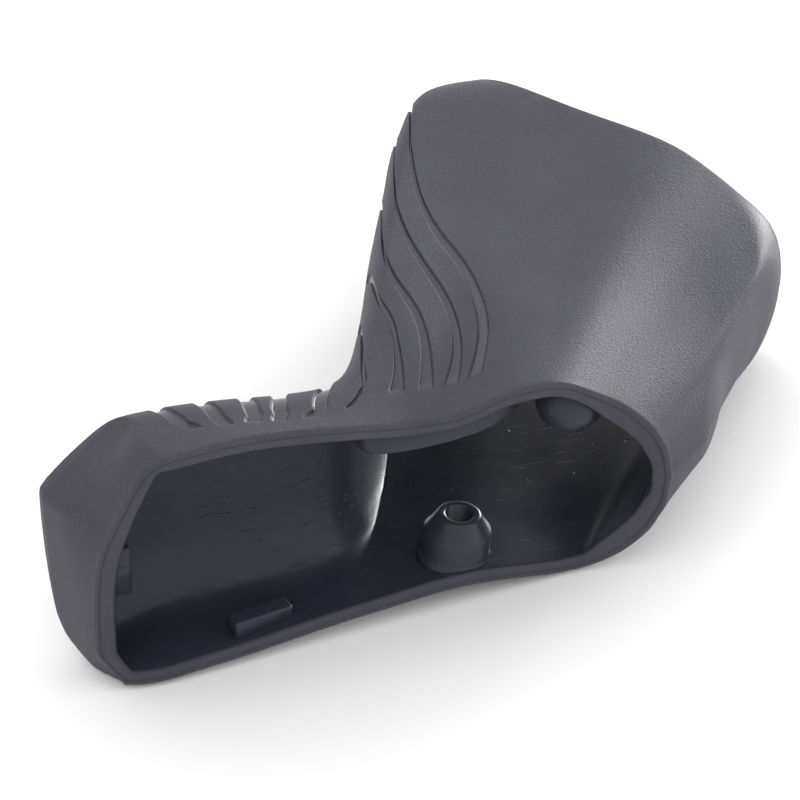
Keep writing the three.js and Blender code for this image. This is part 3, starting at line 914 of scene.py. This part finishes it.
# Corners that the blade opening cut away belong to no face, so they are left out
used, triangles = np.unique(np.concatenate(shell.faces), return_inverse=True)
SHIFT = np.array([-MIDDLE[0], -MIDDLE[1], -laid[used].min(axis=0)[2]])
laid = (laid + SHIFT) / 1000

mesh = bpy.data.meshes.new("hood rubber")
mesh.from_pydata(laid[used].tolist(), [], triangles.reshape(-1, 3).tolist())
mesh.validate()
extra = np.concatenate(shell.extra)[used]
for column, name in enumerate(("groove", "inside")):
    layer = mesh.attributes.new(name, "FLOAT", "POINT")
    layer.data.foreach_set("value", np.ascontiguousarray(extra[:len(mesh.vertices), column]))
mesh.shade_smooth()
hood = bpy.data.objects.new("Hood", mesh)
bpy.context.scene.collection.objects.link(hood)
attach(hood, "root")
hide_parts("hood")
print("placed; shift in mm", np.round(SHIFT, 2), "triangles", len(mesh.polygons))

# %% [markdown]
# ## Small tools for node trees
# A finish here is a tree of nodes, and most of its nodes do simple sums. These helpers put a node in
# place and join it in one line, so that the cells below read like the finish they describe.

# %% Node helpers
def add(tree, kind, **inputs):
    """Node with its input values set by name, spaces written as underscores."""
    node = tree.nodes.new(kind)
    for key, value in inputs.items():
        socket = node.inputs[key.replace("_", " ")]
        if isinstance(value, bpy.types.NodeSocket):
            tree.links.new(value, socket)
        else:
            socket.default_value = value
    return node


def calculate(tree, operation, one, two):
    """Result of a sum of two values or sockets."""
    node = tree.nodes.new("ShaderNodeMath")
    node.operation = operation
    for socket, value in zip(node.inputs, (one, two)):
        if isinstance(value, bpy.types.NodeSocket):
            tree.links.new(value, socket)
        else:
            socket.default_value = value
    return node.outputs[0]


def ramp(tree, value, low, high, out_low=0.0, out_high=1.0):
    node = add(tree, "ShaderNodeMapRange", Value=value)
    node.interpolation_type = "SMOOTHSTEP"
    for name, number in (("From Min", low), ("From Max", high), ("To Min", out_low), ("To Max", out_high)):
        node.inputs[name].default_value = number
    return node.outputs["Result"]


def new_group(name, outputs):
    group = bpy.data.node_groups.new(name, "ShaderNodeTree")
    for title, kind in outputs:
        group.interface.new_socket(title, in_out="OUTPUT", socket_type=kind)
    return group, group.nodes.new("NodeGroupOutput")


print("helpers made: add, calculate, ramp, new_group")

# %% [markdown]
# ## Pebble grain
# The mould's skin was etched, so the outside of the boot is finely pebbled and its grey varies a
# little. Noise gives uneven heights and cells give round grains, so both are summed. The grain is
# far smaller than a triangle, and so it is a bump and not geometry.

# %% Pebble grain
GRAIN_SCALE, GRAIN_CELLS, CLOUD_SCALE = 2900.0, 4300.0, 75.0


def pebble_group():
    """Height of the mould's pebble grain, and a slow cloud that varies it."""
    group, out = new_group("Pebble grain", [("Height", "NodeSocketFloat"), ("Cloud", "NodeSocketFloat")])
    place = group.nodes.new("ShaderNodeTexCoord").outputs["Object"]
    coarse = add(group, "ShaderNodeTexNoise", Vector=place, Scale=GRAIN_SCALE, Detail=2.0, Roughness=0.6)
    cells = add(group, "ShaderNodeTexVoronoi", Vector=place, Scale=GRAIN_CELLS)
    cloud = add(group, "ShaderNodeTexNoise", Vector=place, Scale=CLOUD_SCALE, Detail=3.0, Roughness=0.6)
    grains = calculate(group, "MULTIPLY", cells.outputs["Distance"], 0.45)
    total = calculate(group, "ADD", grains, coarse.outputs["Fac"])
    group.links.new(total, out.inputs["Height"])
    group.links.new(cloud.outputs["Fac"], out.inputs["Cloud"])
    return group


pebble_grain = pebble_group()
print("pebble grain nodes:", len(pebble_grain.nodes))

# %% [markdown]
# ## Scuffs on the inside
# The polished core is pulled out of the soft boot, so the inside has short drag marks along one
# way, a few pits, and clouds of duller and shinier rubber. Noise stretched in one direction gives
# the marks, and a slow cloud keeps them to patches, as an even spread would look printed.

# %% Scuffs
STREAK_TURN, STREAK_SCALE = (0.2, 0.1, 0.6), (160.0, 2400.0, 1300.0)
PIT_SCALE, PATCH_SCALE = 420.0, 60.0


def scuff_group():
    """Scratches and pits that the core of the mould leaves on the inside."""
    group, out = new_group("Scuffs", [("Height", "NodeSocketFloat"), ("Smear", "NodeSocketFloat")])
    place = group.nodes.new("ShaderNodeTexCoord").outputs["Object"]
    turned = add(group, "ShaderNodeMapping", Vector=place, Rotation=STREAK_TURN, Scale=STREAK_SCALE)
    streaks = add(group, "ShaderNodeTexNoise", Vector=turned.outputs[0], Scale=1.0, Detail=2.0)
    marks = ramp(group, streaks.outputs["Fac"], 0.63, 0.70)
    spots = add(group, "ShaderNodeTexVoronoi", Vector=place, Scale=PIT_SCALE, Randomness=1.0)
    pits = ramp(group, spots.outputs["Distance"], 0.04, 0.10, 1.0, 0.0)
    cloud = add(group, "ShaderNodeTexNoise", Vector=place, Scale=PATCH_SCALE, Detail=4.0, Roughness=0.65)
    patch = ramp(group, cloud.outputs["Fac"], 0.45, 0.6)
    both = calculate(group, "MULTIPLY", calculate(group, "MAXIMUM", marks, pits), patch)
    group.links.new(calculate(group, "MULTIPLY", both, -1.0), out.inputs["Height"])
    group.links.new(cloud.outputs["Fac"], out.inputs["Smear"])
    return group


scuff_marks = scuff_group()
print("scuff nodes:", len(scuff_marks.nodes))

# %% [markdown]
# ## Where the rubber changes
# One rubber covers the boot, but it looks different by place: pebbled and matt on the land, smooth on
# the groove floors, plainer on the cut lips and shiny inside. The mesh carries a groove value and an
# inside value, and masks made from them blend the finishes. Three materials would show a hard border.

# %% Masks
rubber = bpy.data.materials.new("Rubber")
rubber.use_nodes = True
tree = rubber.node_tree
tree.nodes.clear()


def attribute(name):
    node = tree.nodes.new("ShaderNodeAttribute")
    node.attribute_name = name
    return node.outputs["Fac"]


groove, inside = attribute("groove"), attribute("inside")
pebble = tree.nodes.new("ShaderNodeGroup")
pebble.node_tree = pebble_grain
scuffs = tree.nodes.new("ShaderNodeGroup")
scuffs.node_tree = scuff_marks
within = ramp(tree, inside, 0.15, 0.6)
without = calculate(tree, "SUBTRACT", 1.0, within)
smooth_floor = ramp(tree, groove, 0.5, 0.9)
land = calculate(tree, "MULTIPLY", without, calculate(tree, "SUBTRACT", 1.0, smooth_floor))
on_lip = calculate(tree, "MULTIPLY", ramp(tree, inside, 0.03, LIP_INSIDE), without)
LIP_SMOOTHING = 0.6
lip_loss = calculate(tree, "MULTIPLY", on_lip, LIP_SMOOTHING)
grain = calculate(tree, "MULTIPLY", land, calculate(tree, "SUBTRACT", 1.0, lip_loss))
print("mask nodes:", len(tree.nodes))

# %% [markdown]
# ## Relief and colour
# The grain's bump feeds the scuffs' bump, so one normal holds both. The rubber is a bluish dark grey that is
# a little lighter where the pebbles stand up, and darker on the polished inside, partly as painted shade of
# the hollow boot. Both bumps have their height in metres, so they stay true when the boot is seen from near
# or far.

# %% Relief and colour
GRAIN_HEIGHT, SCUFF_DEPTH = 0.00006, 0.00008
DARK_RUBBER = (0.028, 0.0272, 0.039, 1)
LIGHT_RUBBER = (0.048, 0.0465, 0.065, 1)
# The inside grey is the rubber's own tone, made darker with painted shade of the hollow boot
INSIDE_RUBBER_AND_SHADE = (0.026, 0.028, 0.043, 1)
grain_bump = add(tree, "ShaderNodeBump", Height=pebble.outputs["Height"], Strength=grain)
grain_bump.inputs["Distance"].default_value = GRAIN_HEIGHT
scuff_bump = add(tree, "ShaderNodeBump", Height=scuffs.outputs["Height"], Strength=within,
                 Normal=grain_bump.outputs[0])
scuff_bump.inputs["Distance"].default_value = SCUFF_DEPTH

speckle = calculate(tree, "ADD", ramp(tree, pebble.outputs["Cloud"], 0.3, 0.7, 0.0, 0.4),
                    ramp(tree, pebble.outputs["Height"], 0.5, 0.95, 0.0, 0.6))


def mix_colours(factor, one, two):
    node = add(tree, "ShaderNodeMix", Factor=factor)
    node.data_type = "RGBA"
    sockets = [socket for socket in node.inputs if socket.type == "RGBA"]
    for socket, colour in zip(sockets, (one, two)):
        if isinstance(colour, bpy.types.NodeSocket):
            tree.links.new(colour, socket)
        else:
            socket.default_value = colour
    return [socket for socket in node.outputs if socket.type == "RGBA"][0]


mixed = mix_colours(within, mix_colours(speckle, DARK_RUBBER, LIGHT_RUBBER), INSIDE_RUBBER_AND_SHADE)
print("nodes with relief and colour:", len(tree.nodes))

# %% [markdown]
# ## Shine
# Pebbled rubber scatters the light, a groove floor and the polished inside less so. Only the roughness
# and a little of the reflection change by place. Everything ends in one Principled shader.

# %% Shine
roughness = calculate(tree, "SUBTRACT", 0.62, calculate(tree, "MULTIPLY", smooth_floor, 0.27))
inner_rough = ramp(tree, scuffs.outputs["Smear"], 0.35, 0.65, 0.26, 0.42)
blend = calculate(tree, "ADD", calculate(tree, "MULTIPLY", roughness, without),
                  calculate(tree, "MULTIPLY", inner_rough, within))

shader = add(tree, "ShaderNodeBsdfPrincipled", Base_Color=mixed, Roughness=blend,
             Normal=scuff_bump.outputs[0])
shader.inputs["IOR"].default_value = 1.5
tree.links.new(ramp(tree, inside, 0.15, 0.6, 0.42, 0.28), shader.inputs["Specular IOR Level"])
out = tree.nodes.new("ShaderNodeOutputMaterial")
tree.links.new(shader.outputs["BSDF"], out.inputs["Surface"])
hood.data.materials.append(rubber)
print("rubber nodes:", len(tree.nodes))

# %% [markdown]
# ## Camera
# The photo was taken from in front of the bar mouth, 36 degrees above the table, with a long lens.
# The camera is set by where one drawn point, on the boot's toe, falls in a picture of 800 by 800.
# The plain display setting keeps the white table white and the dark rubber dark.

# %% Camera
PICTURE = 800
SENSOR = 36
FOCAL = 3667.5  # in pixels of the picture
DISTANCE = 450.0
TOE_POINT, TOE_PIXEL = (0, 2.4, 0), (97, 572)
elevation, yaw = math.radians(36), math.radians(-20)
spin = turn_about_z(yaw)
forward = spin @ np.array([0, math.cos(elevation), -math.sin(elevation)])
right = spin @ np.array([1.0, 0, 0])
up = spin @ np.array([0, math.sin(elevation), math.cos(elevation)])
aside, below = [(pixel - PICTURE / 2) / FOCAL * DISTANCE for pixel in TOE_PIXEL]
place = np.array(TOE_POINT) - forward * DISTANCE - right * aside + up * below
axes = np.stack([LAY @ right, LAY @ up, -(LAY @ forward)], axis=1)
camera_data = bpy.data.cameras.new("Camera")
camera = bpy.data.objects.new("Camera", camera_data)
bpy.context.scene.collection.objects.link(camera)
camera_data.lens = SENSOR * FOCAL / PICTURE
camera_data.sensor_width = SENSOR
camera_data.clip_start = 0.01
matrix = np.eye(4)
matrix[:3, :3] = axes
matrix[:3, 3] = (LAY @ place + SHIFT) / 1000
camera.matrix_world = Matrix(matrix.tolist())
bpy.context.scene.camera = camera
bpy.context.scene.view_settings.view_transform = "Standard"
print("camera at", np.round(matrix[:3, 3], 3), "lens", round(camera_data.lens, 1))

# %% [markdown]
# ## Table and studio light
# The boot lies on a white table under very soft light. The sky alone gives most of it, which keeps
# the shadows pale. One wide lamp above and behind and one in front on the right model the horn, and
# a small low one shines through the blade opening, so that the inside of the boot can be seen.

# %% Table and light
TABLE_WHITE, TABLE_ROUGHNESS, SKY_STRENGTH = (0.96, 0.96, 0.96, 1), 0.6, 1.15
bpy.ops.mesh.primitive_plane_add(size=4, location=(0, 0, 0))
floor = bpy.context.object
floor.name = "Table"
white = bpy.data.materials.new("White table")
white.use_nodes = True
white.node_tree.nodes["Principled BSDF"].inputs["Base Color"].default_value = TABLE_WHITE
white.node_tree.nodes["Principled BSDF"].inputs["Roughness"].default_value = TABLE_ROUGHNESS
floor.data.materials.append(white)

world = bpy.data.worlds.new("Studio")
bpy.context.scene.world = world
world.use_nodes = True
world.node_tree.nodes["Background"].inputs["Color"].default_value = (1, 1, 1, 1)
world.node_tree.nodes["Background"].inputs["Strength"].default_value = SKY_STRENGTH


def soft_light(name, place, towards, size, power):
    data = bpy.data.lights.new(name, "AREA")
    data.shape = "RECTANGLE"
    data.size, data.size_y = size
    data.energy = power
    lamp = bpy.data.objects.new(name, data)
    bpy.context.scene.collection.objects.link(lamp)
    lamp.location = place
    lamp.rotation_euler = (Vector(towards) - Vector(place)).to_track_quat("-Z", "Y").to_euler()


soft_light("Top light", (-0.05, 0.3, 0.55), (0, 0, 0.02), (0.6, 0.6), 0.5)
soft_light("Right light", (0.4, -0.3, 0.3), (0.02, 0, 0.02), (0.4, 0.4), 0.3)
soft_light("Light through the horn", (0.30, 0.195, 0.022), (0.02, 0.0, 0.014), (0.14, 0.04), 1.6)
print("lamps:", len(bpy.data.lights), "sky strength:", SKY_STRENGTH)
